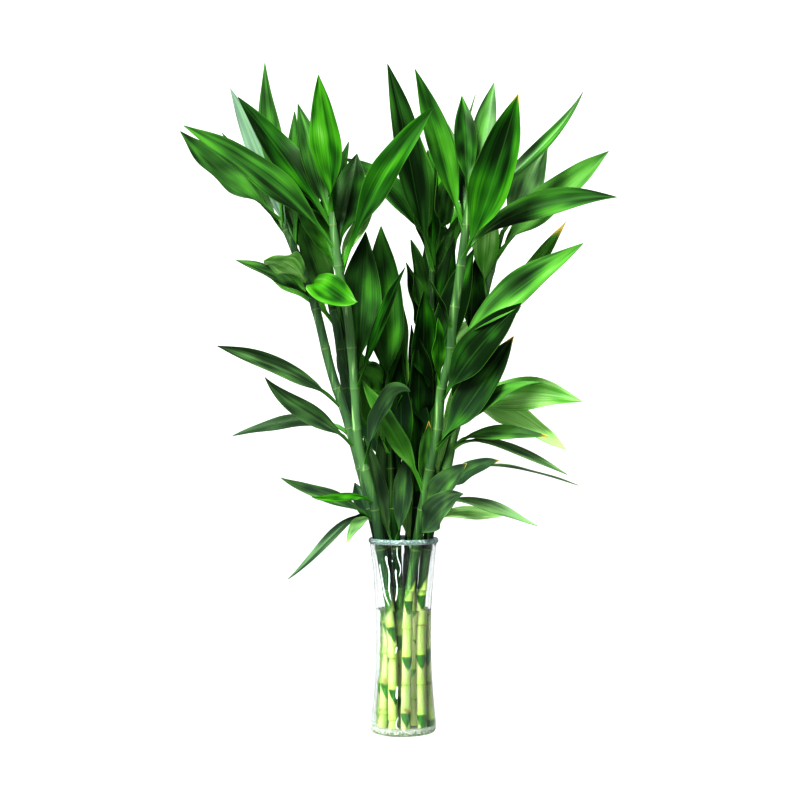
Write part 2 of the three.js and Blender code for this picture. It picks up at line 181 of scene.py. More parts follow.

# The leaves of each stalk: the height where a leaf leaves the stem, its tip, its widest width, how
# far the tip droops, how far the blade turns to the front, its tone from dark to bright, partly
# its colour and partly painted light and shade, how grey it is, a painted sheen, then how dry its
# tip is, where that isn't 0, and last how much of it is leaf stalk, where that isn't STALK_SHARE.
STALK_LEAVES = {
    "left": [
        (640, (-281, 15, 752), 48, -0.2, 1.4, 0.3, 0.15),
        (622, (-233, 60, 757), 19, 0.1, 0.6, -0.2, 0.1),
        (606, (-224, 75, 817), 28, 0.15, 1.2, 0.3, 0.82),
        (634, (-176, 35, 842), 36, -0.4, 1.1, 0.45, 0.15),
        (600, (-139, 50, 783), 28, 0, 1.6, 0.35, 0.1),
        (536, (-211, 15, 590), 20, 0.2, 1.4, 0.2, 0.25),
        (557, (-171, -50, 584), 41, 0.35, -0.5, 1.75, 0),
        (540, (-54, -155, 528), 40, -0.2, 3, 0.95, 0),
        (400, (-231, -20, 481), 27, 0.15, 1.6, 0, 0.35, 0, 0.18),
        (350, (-170, -45, 442), 26, -0.55, 2.1, 0.1, 0.35),
        (365, (-219, 55, 368), 21, 0.3, 1.4, -0.3, 0.3),
        (258, (-150, -50, 319), 20, -0.1, 1.9, 0.2, 0.35),
        (260, (-142, -40, 194), 13, 0.05, 1.6, -0.6, 0.3),
        (258, (-69, -60, 240), 16, 0.75, 1.3, 1, 0.6, 0.3),
        (253, (-62, 35, 309), 26, -0.1, 0.6, -0.4, 0.2),
    ],
    "front_left": [
        (594, (-263, -95, 742), 42, 0.2, 1.8, 0.4, 0.1),
        (620, (-205, -20, 789), 40, 0.05, 1.6, 0.15, 0),
        (639, (-103, -72, 807), 38, 0.15, 2.8, 0.7, 0),
        (628, (-131, -20, 781), 30, 0, 1.2, 0.4, 0.15),
        (561, (37, -78, 768), 36, 0.35, 2.8, 0.45, 0, 0, 0.26),
        (572, (-36, 0, 656), 20, 0.2, 1.2, 1.6, 0.2),
        (421, (2, -66, 575), 23, 0.2, 1.1, 0.05, 0),
        (327, (8, -90, 424), 36, 0.95, 1.2, -0.1, 0.3, 0, 0.2),
        (566, (-136, 30, 668), 31, 0.15, 1.2, 0.65, 0),
        (283, (-111, -75, 297), 13, -0.2, 1.4, 0.7, 0),
        (437, (-47, -12, 623), 52, 0.05, 1.6, 0.15, 0.1),
        (592, (-58, -5, 721), 48, -0.25, 1.4, 0.15, 0.05),
    ],
    "centre_left": [
        (410, (-28, -2, 631), 52, 0.15, 2.3, 0.35, 0.1),
        (370, (-2, 10, 544), 42, 0, 1.4, 1.2, 0.1),
        (340, (-55, 0, 475), 45, -0.15, 1.6, 1.3, 0.2),
        (290, (-2, -3, 472), 48, 0, 1.4, -0.1, 0.05),
        (232, (6, -16, 352), 27, 0, 2.2, 0, 0.3),
        (315, (-63, 80, 422), 33, -0.05, 0.5, 0.2, 0),
        (262, (-23, 14, 398), 36, 0, 1, 0.4, 0.5),
        (225, (-50, -4, 369), 29, 0.05, 1.7, 0.45, 0.5),
        (414, (-57, -18, 448), 40, 0.75, 1.8, 0.7, 0.15),
    ],
    "front_right": [
        (580, (137, -95, 780), 52, -0.2, 2.8, 0.45, 0, 0.1),
        (614, (14, -45, 819), 35, 0.15, 2, 0.55, 0.05),
        (664, (72, -25, 790), 29, 0.2, 1.6, 0.2, 0.05),
        (650, (113, -5, 810), 30, 0.15, 1.6, 0.3, 0.25),
        (624, (223, -12, 797), 19, -0.6, 1.5, 0.4, 0.1),
        (588, (264, -22, 665), 36, 0.4, 2.2, 0.3, 0.1),
        (626, (56, 15, 761), 26, 0, 1, 0, 0.1),
        (466, (213, -110, 600), 41, 0.1, 2.2, 0.7, 0.15),
        (406, (141, -88, 530), 48, 0.2, 2.5, -0.2, 0.05),
        (351, (133, -72, 491), 45, -0.15, 2.4, 0, 0.1, 0.2),
        (345, (166, -88, 435), 21, 0.5, 1.4, 0.6, 0.15, 0, 0.2),
        (264, (76, -85, 338), 36, 0.1, 2.3, 0.1, 0.3, 0.1),
        (233, (71, -100, 302), 38, 0.35, 2.3, 0.1, 0.4),
        (495, (31, -75, 560), 16, 0, 0.4, 0.1, 0.1),
        (424, (42, -50, 514), 22, 0, 1.4, 0.8, 0),
        (292, (-52, -32, 440), 27, 0, 1.8, 0.95, 0.15, 0, 0.2),
        (300, (31, -30, 388), 24, 0, 1.2, 0.7, 0.2, 0.5),
    ],
    "centre_right": [
        (574, (-20, -5, 833), 41, 0.25, 2.3, 0.15, 0.1),
        (575, (20, 60, 753), 39, 0.2, 1.2, 1.1, 0.15),
        (591, (-76, 30, 720), 43, 0.5, 1, 0.3, 0.1),
        (463, (3, 0, 586), 37, 0.25, 1.2, 0.25, 0.15),
        (489, (9, 14, 616), 36, 0.15, 1.2, 0.5, 0.15),
        (400, (25, -4, 550), 42, 0, 1.4, 0.15, 0),
        (350, (18, -2, 494), 42, 0, 1.4, 0.1, 0.05),
        (580, (41, 36, 746), 28, 0, 1, 0.08, 0),
        (520, (71, 80, 653), 28, 0.2, 0.4, 0.6, 0.15),
        (424, (88, 8, 603), 48, 0, 1.7, 0.1, 0.05),
        (290, (14, 4, 440), 46, 0, 1.2, 0.5, 0.1),
        (235, (38, 8, 352), 36, -0.15, 1.2, 0.3, 0),
        (217, (0, 18, 350), 30, 0, 1.4, 2.2, 0.2),
        (300, (46, 20, 462), 42, 0, 1.2, 0.35, 0.15),
        (470, (65, 40, 620), 34, -0.25, 1.6, 0.05, 0),
    ],
    "front_right_low": [
        (352, (178, -50, 370), 23, 0.15, 1.2, 0.65, 0.25, 0.4),
        (349, (202, -30, 322), 19, 0.25, 0.7, 0.5, 0.5),
        (310, (219, 5, 307), 16, 0.3, -0.1, 0.5, 0.7),
        (293, (116, -70, 341), 26, 0.25, 1.5, -0.1, 0.3, 0.2),
        (278, (165, -30, 259), 18, 0.2, 0.9, 0.9, 0.7),
        (259, (124, 15, 268), 21, 0.1, 0.8, 2.4, 0.3),
        (380, (92, -6, 498), 36, 0.2, 1.2, 0.3, 0),
    ],
    "right": [
        (625, (186, 62, 742), 44, 0.3, 2, 0.2, 0.3),
        (592, (254, -20, 722), 44, 0.05, 2.2, 0.8, 0.25),
        (586, (212, 72, 681), 23, 0.75, 0.6, 0.8, 0.1),
        (471, (208, 52, 642), 28, -0.05, 1.3, 1, 0.15, 0.7),
        (386, (221, -20, 412), 48, 0.35, 1.9, 1.5, 0.15),
        (390, (203, 0, 352), 36, 0.35, 1.2, 2.7, 0),
        (450, (155, 120, 538), 34, 0.2, 0, 0.4, 0),
        (541, (105, 14, 681), 36, 0.25, 2.2, 1.35, 0.15),
        (285, (64, 12, 436), 49, 0, 1.2, 2.1, 0.1),
        (470, (91, 22, 595), 35, 0, 1.7, 0.05, 0),
    ],
    "back_left": [
        (590, (-70, 50, 744), 36, -0.1, 1.7, 0, 0.1),
        (575, (-144, 60, 719), 34, 0.25, 1.5, 0.2, 0),
        (566, (-183, 140, 727), 34, 0.1, 0.4, 0.35, 0),
        (505, (-201, 130, 589), 41, 0.3, 0.5, 1, 0.1),
        (450, (-68, 170, 568), 36, 0.4, 0.5, 0.4, 0),
        (409, (-63, 180, 507), 36, 0.3, 0, 0.35, 0),
        (526, (-133, 42, 640), 41, 0.1, 1.8, 0.8, 0.3),
    ],
    "back_right": [
        (605, (93, 70, 808), 26, 0.1, 1, 0.6, 0.3),
        (600, (-8, 62, 772), 34, 0.1, 1, 0.3, 0),
        (590, (33, 180, 752), 37, 0.35, 0, 0.5, 0),
        (563, (122, 150, 713), 43, 0.4, 0.1, 0.5, 0),
        (500, (37, 150, 641), 34, 0.3, -0.5, 0.3, 0),
        (432, (104, 160, 532), 34, 0.05, 0.1, 1.7, 0.1),
        (360, (20, 170, 430), 32, 0.4, 0, 0.3, 0),
        (599, (61, 60, 711), 37, -0.15, 1.2, 0.5, 0.2),
        (330, (10, 62, 511), 30, 0, 1.2, 0.1, 0),
    ],
}

# What each stalk's stem looks like: how brightly lit it is painted low down and high up, how
# grey, how much further up its bare cane reaches, on which side it reaches highest and on which
# side its scars lie.
STEM_LOOKS = {
    "left": (0.05, 0.3, 0.3, -0.03, 0.3, -1.3),
    "front_left": (0.1, 0.85, 0.35, -0.022, 0.6, -1),
    "centre_left": (0.05, 0.15, 0, -0.03, 1.2, 1.2),
    "front_right": (0.5, 0.5, 0.2, -0.003, 0.2, 1.9),
    "centre_right": (0.1, 0.2, 0.1, -0.006, 3.4, 3.4),
    "front_right_low": (0.45, 0.7, 0.2, 0.002, 0.1, 2),
    "right": (0.5, 0.7, 0.35, 0.004, 0, 1.8),
    "back_left": (0.05, 0.2, 0.3, -0.02, 4.2, 4.2),
    "back_right": (0.1, 0.3, 0.1, -0.01, 0.9, 0.9),
}
# What each cane looks like: its lowest joint, the spacing of its joints and how dark it is, a
# painted shade that is deepest on the canes further back.
CANE_LOOKS = {
    "left": (22, 38, 0.16),
    "front_left": (17, 38.5, 0.07),
    "centre_left": (44, 38, 0.29),
    "front_right": (27, 34.5, 0),
    "centre_right": (40, 37, 0.2),
    "front_right_low": (23, 37, 0.07),
    "right": (14.5, 43.8, 0),
    "back_left": (19, 38, 0.52),
    "back_right": (32, 38, 0.55),
}

# The stage: the floor's size and the camera's place in metres, its lens and sensor in millimetres,
# the way to each lamp and how wide it is in degrees, how much of the sky reflections show, and
# how often light bounces.
FLOOR_SIZE = 30
CAMERA_PLACE = (-0.0044, -2.2, 0.414)
LENS, SENSOR_WIDTH = 79.2, 36
KEY_SOURCE = (-0.45, -0.75, 1)
REAR_SOURCE = (0.5, 0.85, 0.8)
LAMP_WIDTH = 24
GLOSSY_SKY = 0.35
BOUNCES = 24


def length(name, description, millimetres):
    return bpy.props.FloatProperty(
        name=name, description=description, default=millimetres * MM, unit="LENGTH"
    )


def colour(name, description, *parts):
    return bpy.props.FloatVectorProperty(
        name=name, description=description, default=parts, subtype="COLOR"
    )


def amount(name, description, default, most=100):
    return bpy.props.FloatProperty(
        name=name, description=description, default=default, min=0, max=most
    )


class VaseSizes(bpy.types.PropertyGroup):
    """Sizes of the glass vase and the water in it."""

    wall: length("Glass wall", "Thickness of the glass", 3)
    floor: length("Glass floor", "Thickness of the foot", 7)
    water_level: length("Water level", "Height of the water", 153)
    ripple: length("Ripple", "How wavy the glass is", 0.7)


class CaneSizes(bpy.types.PropertyGroup):
    """Sizes and colours of the bare canes."""

    radius: length("Radius", "Half the thickness of a cane", 5.5)
    lime: colour("Cane", "Colour of the bare cane", 0.245, 0.255, 0.12)
    green: colour("Scar", "Colour under a joint", 0.003, 0.03, 0.0015)


class StemSizes(bpy.types.PropertyGroup):
    """Sizes and colours of the green stems."""

    low: length("Radius low", "Above the cane", 6.2)
    top: length("Radius top", "Below the crown", 5.4)
    tip: length("Radius at the tip", "At the crown", 2.6)
    spacing: length("Joint spacing", "Between two joints", 50)
    bright: colour("Bright", "Colour of a lit sheath", 0.046, 0.125, 0.02)
    dark: colour("Dark", "Colour of a shaded sheath", 0.003, 0.022, 0.0025)


class LeafLooks(bpy.types.PropertyGroup):
    """Thickness, folds and colours of the leaves."""

    thickness: length("Thickness", "Of a blade", 0.7)
    fold: amount("Fold", "How deep the midrib lies", 0.32, 1)
    wave: amount("Wave", "How far the margins wave", 0.2, 0.5)
    # Bright, middle and dark are blended by each leaf's tone; they are partly the leaf's colour, by
    # its age, and partly painted light and shade.
    bright: colour("Bright", "Colour of a young leaf", 0.036, 0.165, 0.006)
    middle: colour("Middle", "Colour of a grown leaf", 0.0085, 0.06, 0.003)
    dark: colour("Dark", "Colour of an old leaf", 0.0014, 0.0095, 0.0009)
    margin: colour("Margin", "Colour of the margins", 0.1, 0.24, 0.035)


class StageLooks(bpy.types.PropertyGroup):
    """Floor, light and camera."""

    floor: colour("Floor", "Colour of the floor", 0.9, 0.9, 0.9)
    sky: amount("Sky", "Strength of the light all round", 1)
    key: amount("Key light", "Strength of the main light", 8.5)
    rear: amount("Rear light", "Strength of the light from behind", 2)


def smooth(rows, place):
    """A smooth line through rows of place, value, value: each value at a place, and its slope."""
    last = len(rows) - 1
    low = 0
    while low < last - 1 and place > rows[low + 1][0]:
        low += 1

    def slope(row, column):
        before = rows[max(row - 1, 0)]
        after = rows[min(row + 1, last)]
        return (after[column] - before[column]) / (after[0] - before[0])

    span = rows[low + 1][0] - rows[low][0]
    t = (place - rows[low][0]) / span
    values = []
    slopes = []
    for column in range(1, len(rows[0])):
        a, b = rows[low][column], rows[low + 1][column]
        m, n = slope(low, column) * span, slope(low + 1, column) * span
        square = 3 * (b - a) - 2 * m - n
        cube = m + n - 2 * (b - a)
        values.append(a + t * (m + t * (square + t * cube)))
        slopes.append((m + t * (2 * square + 3 * t * cube)) / span)
    return values, slopes


def axis_point(axis, height):
    """The middle of a stalk at a height in metres."""
    values, _ = smooth(axis, height / MM)
    return Vector((values[0] * MM, values[1] * MM, height))


def axis_direction(axis, height):
    _, slopes = smooth(axis, height / MM)
    return Vector((slopes[0], slopes[1], 1)).normalized()


def stem_radius(axis, height):
    sizes = bpy.context.scene.bamboo_stems
    top = axis[-1][0] * MM
    share = (height - CANE_TOP * MM) / (top - CANE_TOP * MM)
    full = sizes.low + (sizes.top - sizes.low) * share
    return sizes.tip + (full - sizes.tip) * min(1, (top - height) / (STEM_TAPER * MM))


def foot_radius(axis, height):
    """The radius of a stem, which starts as thick as the cane under it."""
    bare = bpy.context.scene.bamboo_canes.radius
    share = min(1, (height - CANE_TOP * MM) / (STEM_SPREAD * MM))
    return bare + (stem_radius(axis, height) - bare) * share


def deselect():
    if bpy.context.mode != "OBJECT":
        bpy.ops.object.mode_set(mode="OBJECT")
    bpy.ops.object.select_all(action="DESELECT")


def take(piece):
    """Makes one piece the selected and active one."""
    deselect()
    piece.select_set(True)
    bpy.context.view_layer.objects.active = piece


def named(name):
    """The active piece, with its mesh, under a name."""
    piece = bpy.context.active_object
    piece.name = name
    piece.data.name = name
    return piece


def pick(piece, wanted=lambda place: True):
    """Leaves exactly the wanted vertices selected, in edit mode: all, unless wanted says which."""
    take(piece)
    mesh = piece.data
    for group in (mesh.polygons, mesh.edges):
        group.foreach_set("select", [False] * len(group))
    mesh.vertices.foreach_set("select", [bool(wanted(vertex.co)) for vertex in mesh.vertices])
    bpy.ops.object.mode_set(mode="EDIT")
    bpy.ops.mesh.select_mode(type="VERT")


def apply_all(piece):
    take(piece)
    for modifier in list(piece.modifiers):
        bpy.ops.object.modifier_apply(modifier=modifier.name)


def copy_of(piece, name):
    """A copy with a mesh of its own."""
    take(piece)
    bpy.ops.object.duplicate()
    return named(name)


def join(pieces, name):
    take(pieces[0])
    for piece in pieces:
        piece.select_set(True)
    bpy.ops.object.join()
    return named(name)


def discard(piece):
    take(piece)
    bpy.ops.object.delete()


def point_outward(piece):
    pick(piece)
    bpy.ops.mesh.normals_make_consistent(inside=False)
    deselect()


def smooth_shade(piece, degrees=50):
    take(piece)
    bpy.ops.object.shade_smooth_by_angle(angle=math.radians(degrees))


class Material:
    """A small helper that strings shader nodes together."""

    def __init__(self, name):
        self.material = bpy.data.materials.new(name)
        self.material.use_nodes = True
        self.tree = self.material.node_tree
        self.shader = self.tree.nodes["Principled BSDF"]

    def node(self, kind, inputs=None, **settings):
        made = self.tree.nodes.new(kind)
        for key, value in settings.items():
            setattr(made, key, value)
        for key, value in (inputs or {}).items():
            self.feed(made.inputs[key], value)
        return made

    def feed(self, socket, value):
        if isinstance(value, bpy.types.NodeSocket):
            self.tree.links.new(value, socket)
        elif socket.type == "RGBA" and len(value) == 3:
            socket.default_value = (*value, 1)
        else:
            socket.default_value = value

    def set(self, **values):
        for key, value in values.items():
            self.feed(self.shader.inputs[key.replace("_", " ")], value)

    def math(self, operation, first, second=0, third=None):
        inputs = {0: first, 1: second}
        if third is not None:
            inputs[2] = third
        return self.node("ShaderNodeMath", inputs, operation=operation).outputs[0]

    plus = partialmethod(math, "ADD")
    minus = partialmethod(math, "SUBTRACT")
    times = partialmethod(math, "MULTIPLY")
    most = partialmethod(math, "MAXIMUM")
    line = partialmethod(math, "MULTIPLY_ADD")

    def vary(self, value, noise, reach):
        """Moves a value up and down by a noise, by half of reach each way."""
        return self.plus(value, self.line(noise, reach, -reach / 2))

    def place(self):
        return self.node("ShaderNodeTexCoord").outputs["Object"]

    def along_rod(self):
        """The place, its height, and what bend_rod noted there: the rod's and the looks' parts."""
        place = self.place()
        notes = [self.apart(self.attribute(name).outputs["Vector"]) for name in ("rod", "looks")]
        return place, self.apart(place)[2], *notes

    def mix(self, share, first, second):
        made = self.node("ShaderNodeMix", data_type="RGBA")
        self.feed(made.inputs[0], share)
        self.feed(made.inputs[6], first)
        self.feed(made.inputs[7], second)
        return made.outputs[2]

    def step(self, value, low, high, first=0, second=1):
        """Goes smoothly from first to second as value goes from low to high."""
        made = self.node("ShaderNodeMapRange", interpolation_type="SMOOTHSTEP")
        for socket, number in zip(("Value", "From Min", "From Max", "To Min", "To Max"),
                                  (value, low, high, first, second)):
            self.feed(made.inputs[socket], number)
        return made.outputs[0]

    def attribute(self, name):
        return self.node("ShaderNodeAttribute", attribute_name=name)

    def apart(self, vector):
        return self.node("ShaderNodeSeparateXYZ", {0: vector}).outputs

    def noise(self, vector, scale, detail=2, stretch=None):
        if stretch:
            made = self.node("ShaderNodeMapping", {"Vector": vector, "Scale": stretch})
            vector = made.outputs[0]
        inputs = {"Vector": vector, "Scale": scale, "Detail": detail}
        return self.node("ShaderNodeTexNoise", inputs).outputs["Fac"]

    def bump(self, height, strength, distance):
        inputs = {"Height": height, "Strength": strength, "Distance": distance}
        self.set(Normal=self.node("ShaderNodeBump", inputs).outputs[0])


def glass_finish():
    """Clear glass: painted grey shade at its edges and in faint streaks, grained at rim and foot,
    the foot painted pale with a painted sparkle, paler where it dripped.
    """
    made = Material("clear_glass")
    mix, step, times, noise = made.mix, made.step, made.times, made.noise
    place = made.place()
    height = made.apart(place)[2]
    band = step(height, *RIM_GRAIN)
    foot = step(height, *FOOT_GRAIN_AND_SPARKLE)
    thick = made.most(band, foot)
    grain = step(noise(place, 380, 3), 0.4, 0.6)
    # Painted shade: faint grey streaks on the wall, a little less clear where they lie.
    painted_streak_shade = step(noise(place, 1, 3, (90, 90, 12)), 0.46, 0.66)
    # Painted shade: the glass turns grey and less clear where it is seen slanting, at its edges.
    painted_edge_shade = made.node("ShaderNodeLayerWeight", {"Blend": 0.5}).outputs["Facing"]
    painted_edge_shade = step(painted_edge_shade, 0.45, 0.95)
    clear = mix(painted_streak_shade, (0.99, 1, 1), (0.78, 0.82, 0.82))
    clear = mix(painted_edge_shade, clear, (0.62, 0.68, 0.67))
    clear = mix(band, clear, mix(grain, (0.15, 0.23, 0.21), (0.34, 0.44, 0.41)))
    # The foot's grain, painted pale and partly opaque: painted light over a foot that would show
    # dark, its pale specks a painted sparkle.
    clear = mix(foot, clear, mix(grain, (0.2, 0.27, 0.17), (0.66, 0.74, 0.6)))
    drip = made.attribute("drip").outputs["Fac"]
    clear = mix(drip, clear, (0.6, 0.68, 0.66))
    rough = made.line(thick, 0.2, times(drip, 0.1))
    solid = made.line(band, 0.25, times(thick, 0.55))
    dull = made.most(times(drip, 0.55), solid)
    dull = made.most(dull, times(painted_streak_shade, 0.012))
    dull = made.most(dull, times(times(painted_edge_shade, painted_edge_shade), 0.4))
    seen = made.minus(1, dull)
    made.set(Base_Color=clear, Roughness=rough, IOR=1.22, Transmission_Weight=seen)
    inside = made.node("ShaderNodeVolumeAbsorption", {"Color": (0.72, 0.78, 0.77), "Density": 16})
    made.tree.links.new(inside.outputs[0], made.tree.nodes["Material Output"].inputs["Volume"])
    seeds = times(noise(place, 60, 3, (1, 1, 0.35)), 0.15)
    knurl = times(times(grain, thick), 1.6)
    made.bump(made.plus(seeds, knurl), 0.9, 0.002)
    return made.material


def water_finish():
    made = Material("clear_water")
    made.set(Base_Color=(0.99, 1, 0.99), Roughness=0, IOR=1.33, Transmission_Weight=1)
    place = made.place()
    made.bump(made.noise(place, 25, 1), 0.02, 0.002)
    return made.material


def green_share(made, height, side, grain, shift):
    """How far the green of the sheaths has taken over from the bare cane, in a slanting line."""
    slant = made.line(side, GREEN_SLANT, GREEN_LINE)
    edge = made.minus(height, made.plus(slant, shift))
    return made.step(made.vary(edge, grain, GREEN_RAGGED), -0.005, 0.006)


def cane_finish():
    """Yellow-green cane: a thin ring at each joint and a dark green wedge under it, with painted
    shade at two sides and on the canes further back.
    """
    sizes = bpy.context.scene.bamboo_canes
    stems = bpy.context.scene.bamboo_stems
    made = Material("cane_skin")
    mix, step, times, noise = made.mix, made.step, made.times, made.noise
    place, height, rod, looks = made.along_rod()
    side, joint = rod[0], rod[2]
    phase = made.math("FRACT", joint)
    under = made.minus(1, phase)
    odd = times(made.math("FRACT", times(made.math("FLOOR", joint), 0.5)), 2)
    facing = times(side, made.line(odd, -2, 1))
    spread = times(made.math("ARCCOSINE", facing), 0.52)
    wedge = made.plus(spread, times(under, 1.9))
    grain = noise(place, 420, 2, (1, 1, 0.04))
    patch = noise(place, 45, 2)
    wedge = made.vary(wedge, grain, 0.2)
    scar = step(wedge, 1.04, 0.9)
    lime = mix(patch, sizes.lime, [part * 0.7 for part in sizes.lime])
    low = made.plus(step(phase, 0.35, 0, 0, 0.8), step(phase, 0.6, 1, 0, 0.35))
    lime = mix(low, lime, (0.12, 0.23, 0.012))
    lime = mix(times(grain, 0.3), lime, (0.3, 0.36, 0.16))
    # Painted shade: darker green towards two opposite sides of each cane.
    painted_side_shade = made.math("ABSOLUTE", side)
    lime = mix(step(painted_side_shade, 0.6, 1, 0, 0.5), lime, (0.1, 0.2, 0.012))
    skin = mix(scar, lime, mix(grain, sizes.green, (0.012, 0.1, 0.005)))
    ring = made.plus(step(phase, 0.04, 0.01), step(phase, 0.98, 1))
    skin = mix(times(ring, 0.85), skin, (0.09, 0.1, 0.02))
    spot = times(step(patch, 0.57, 0.64), step(phase, 0.3, 0.1))
    skin = mix(times(spot, 0.8), skin, (0.1, 0.05, 0.015))
    # Painted shade: each cane darkened by its own amount, most on the canes further back.
    skin = mix(looks[0], skin, (0.03, 0.11, 0.012))
    green = green_share(made, height, rod[1], grain, looks[2])
    sheath = mix(looks[1], stems.dark, stems.bright)
    sheath = mix(times(grain, 0.35), sheath, (0.1, 0.3, 0.04))
    skin = mix(green, skin, sheath)
    made.set(Base_Color=skin, Roughness=0.34, Specular_IOR_Level=0.35)
    made.bump(grain, 0.15, 0.0006)
    return made.material


def stem_finish():
    """Green sheathed stem: fine lines along it, a pale ring and a darker foot at each joint,
    painted light and shade in long streaks, a painted sheen, and painted shade low down.
    """
    stems = bpy.context.scene.bamboo_stems
    canes = bpy.context.scene.bamboo_canes
    made = Material("stem_skin")
    mix, step, times, noise = made.mix, made.step, made.times, made.noise
    place, height, rod, looks = made.along_rod()
    phase = made.math("FRACT", rod[2])
    grain = noise(place, 700, 2, (1, 1, 0.03))
    patch = noise(place, 30, 2, (1, 1, 0.6))
    # Painted light and shade: long streaks that lighten and darken the stem.
    runs = noise(place, 1, 2, (230, 230, 9))
    # Painted light and shade: the stem's tone picks between the lit and the shaded sheath colour.
    tone = made.vary(looks[0], patch, 0.7)
    tone = made.vary(tone, runs, 1.3)
    tone = made.vary(tone, grain, 0.3)
    tone = made.plus(tone, step(phase, 0.2, 1, 0, 0.15))
    # Painted shade: the stem darker low down, in the vase.
    tone = made.plus(tone, step(height, 0.32, 0.22, 0, -0.3))
    skin = mix(step(tone, 0, 1), stems.dark, stems.bright)
    skin = mix(looks[1], skin, (0.09, 0.17, 0.1))
    ring = made.plus(step(phase, 0.03, 0), step(phase, 0.975, 1))
    skin = mix(times(ring, 0.35), skin, (0.2, 0.3, 0.1))
    # Painted sheen: pale where the streaks are brightest, mostly high up and on lit stems.
    sheen = step(runs, 0.6, 0.75)
    sheen = times(sheen, step(height, 0.24, 0.36, 0.3, 1))
    skin = mix(times(sheen, looks[0]), skin, (0.26, 0.42, 0.17))
    green = green_share(made, height, rod[1], grain, looks[2])
    lime = mix(patch, canes.lime, (0.4, 0.62, 0.1))
    skin = mix(green, lime, skin)
    made.set(Base_Color=skin, Roughness=0.36, Specular_IOR_Level=0.2)
    made.bump(grain, 0.25, 0.0005)
    return made.material


def leaf_finish():
    """Leaf skin: fine lines along the blade, pale margins and stalk, a few dry tips."""
    sizes = bpy.context.scene.bamboo_leaves
    made = Material("leaf_skin")
    mix, step, times, noise = made.mix, made.step, made.times, made.noise
    blade = made.node("ShaderNodeUVMap", uv_map="blade").outputs[0]
    across, along, _ = made.apart(blade)
    looks = made.apart(made.attribute("looks").outputs["Vector"])
    lot = made.attribute("lot").outputs["Fac"]
    shift = made.node("ShaderNodeCombineXYZ", {0: lot, 1: lot}).outputs[0]
    shifted = made.node("ShaderNodeVectorMath", {0: blade, 1: shift}, operation="ADD").outputs[0]
    veins = noise(shifted, 1, 2, (70, 2.2, 1))
    streaks = noise(shifted, 1, 2, (4.5, 1.2, 1))
    # Painted light and shade: broad patches that lift and darken each leaf's tone.
    painted_light_and_shade = noise(shifted, 1, 1, (1.8, 3.2, 1))
    # Each leaf's tone is partly its colour and partly painted light and shade.
    tone = made.vary(looks[0], streaks, 0.95)
    tone = made.vary(tone, painted_light_and_shade, 2.6)
    lines = noise(shifted, 1, 2, (24, 1.8, 1))
    tone = made.vary(tone, lines, 0.7)
    tone = made.vary(tone, veins, 0.3)
    height = made.apart(made.place())[2]
    # Painted light: the darkest leaf colour lighter and greyer low in the bunch.
    old = mix(step(height, 0.48, 0.34, 0, 0.7), sizes.dark, (0.015, 0.035, 0.02))
    skin = mix(step(tone, -0.15, 0.55), old, sizes.middle)
    skin = mix(step(tone, 0.35, 1.05), skin, sizes.bright)
    # Painted highlight: the brightest tones turn pale, textured by the fine lines.
    pale = mix(step(lines, 0.36, 0.64), (0.19, 0.42, 0.1), (0.36, 0.6, 0.23))
    skin = mix(step(tone, 0.95, 2.5), skin, pale)
    # Painted sheen: each leaf's grey share lays a grey-green sheen over it, stronger on the
    # streaks.
    grey = times(looks[1], step(streaks, 0.2, 0.75, 0.5, 1))
    dull = mix(step(tone, -0.4, 0.9), (0.03, 0.055, 0.028), (0.17, 0.26, 0.135))
    painted_sheen = mix(step(looks[1], 0.65, 0.9), dull, (0.16, 0.24, 0.195))
    skin = mix(grey, skin, painted_sheen)
    foot = step(along, 0.3, 0.02)
    skin = mix(times(foot, 0.55), skin, (0.07, 0.26, 0.03))
    rib = made.math("ABSOLUTE", made.minus(across, 0.5))
    skin = mix(step(rib, 0.03, 0, 0, 0.15), skin, (0.07, 0.26, 0.03))
    edge = step(rib, 0.468, 0.498, 0, 0.3)
    skin = mix(edge, skin, sizes.margin)
    ragged = made.vary(along, veins, 0.08)
    ragged = made.plus(ragged, times(rib, 0.12))
    reach = made.minus(1, times(looks[2], 0.12))
    dry = step(made.minus(ragged, reach), 0, 0.05)
    dry = times(dry, step(looks[2], 0, 0.1))
    skin = mix(dry, skin, mix(streaks, (0.5, 0.4, 0.07), (0.22, 0.11, 0.03)))
    rough = made.line(streaks, 0.2, 0.3)
    made.set(Base_Color=skin, Roughness=rough)
    made.set(Specular_IOR_Level=0.26, Specular_Tint=(0.55, 1, 0.45))
    made.bump(veins, 0.1, 0.0006)
    return made.material


def floor_finish():
    looks = bpy.context.scene.bamboo_stage
    made = Material("pale_floor")
    place = made.place()
    tint = made.mix(made.noise(place, 3, 2), looks.floor, [part * 0.985 for part in looks.floor])
    made.set(Base_Color=tint, Roughness=0.8, Specular_IOR_Level=0.1)
    return made.material


def spun(name, profile):
    """A round piece about the upright axis, from a closed profile of (radius, height) in metres."""
    deselect()
    bpy.ops.mesh.primitive_plane_add(size=1)
    piece = named(name)
    pick(piece)
    bpy.ops.mesh.merge(type="CENTER")
    deselect()
    piece.data.vertices[0].co = (profile[0][0], 0, profile[0][1])
    for before, after in zip(profile, profile[1:]):
        last = len(piece.data.vertices) - 1
        take(piece)
        for vertex in piece.data.vertices:
            vertex.select = vertex.index == last
        bpy.ops.object.mode_set(mode="EDIT")
        step = (after[0] - before[0], 0, after[1] - before[1])
        bpy.ops.mesh.extrude_vertices_move(TRANSFORM_OT_translate={"value": step})
        deselect()
    pick(piece)
    bpy.ops.mesh.spin(steps=VASE_STEPS, angle=2 * math.pi, center=(0, 0, 0), axis=(0, 0, 1))
    bpy.ops.mesh.select_all(action="SELECT")
    bpy.ops.mesh.remove_doubles(threshold=CLOSE)
    point_outward(piece)
    return piece


